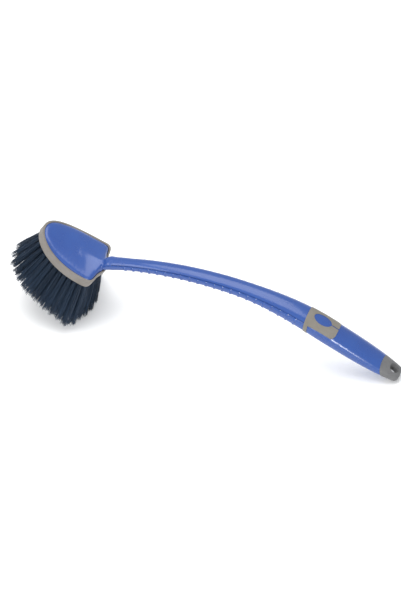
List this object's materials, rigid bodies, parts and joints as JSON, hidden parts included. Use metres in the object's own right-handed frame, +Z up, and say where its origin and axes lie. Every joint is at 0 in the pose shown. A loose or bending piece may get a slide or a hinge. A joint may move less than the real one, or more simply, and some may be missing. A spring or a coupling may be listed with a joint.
{
  "type": "wheel brush",
  "caption": "Long-handled wheel brush with a curved hollow handle, ribbed neck, rubber bumper round a spade-shaped head, fanned tufts, thumb pad and end cap with a hang hole.",
  "frame": {"origin": "bottom centre of the box, on the surface that the brush rests on", "axes": "+Z up in the resting pose, +X along the length from the head towards the handle end, and the object is symmetric about the plane Y = 0"},
  "size_m": [0.4616, 0.1034, 0.113],
  "materials": {
    "blue_shell": "glossy moulded",
    "bumper_rubber": "soft matt",
    "pad_rubber": "soft matt",
    "cap_plastic": "satin moulded",
    "block_plastic": "matt moulded",
    "bristle": "split-tip filament",
    "anchor_wire": "drawn flat wire"
  },
  "bodies": {
    "root": {"top_shell": "blue_shell", "bottom_shell": "blue_shell", "bumper_ring": "bumper_rubber", "thumb_pad": "pad_rubber", "end_cap": "cap_plastic", "tuft_block": "block_plastic", "tufts_row_1": "bristle", "anchors_row_1": "anchor_wire", "tufts_row_2": "bristle", "anchors_row_2": "anchor_wire", "tufts_row_3": "bristle", "anchors_row_3": "anchor_wire", "tufts_row_4": "bristle", "anchors_row_4": "anchor_wire", "tufts_middle": "bristle", "anchors_middle": "anchor_wire"}
  },
  "joints": []
}
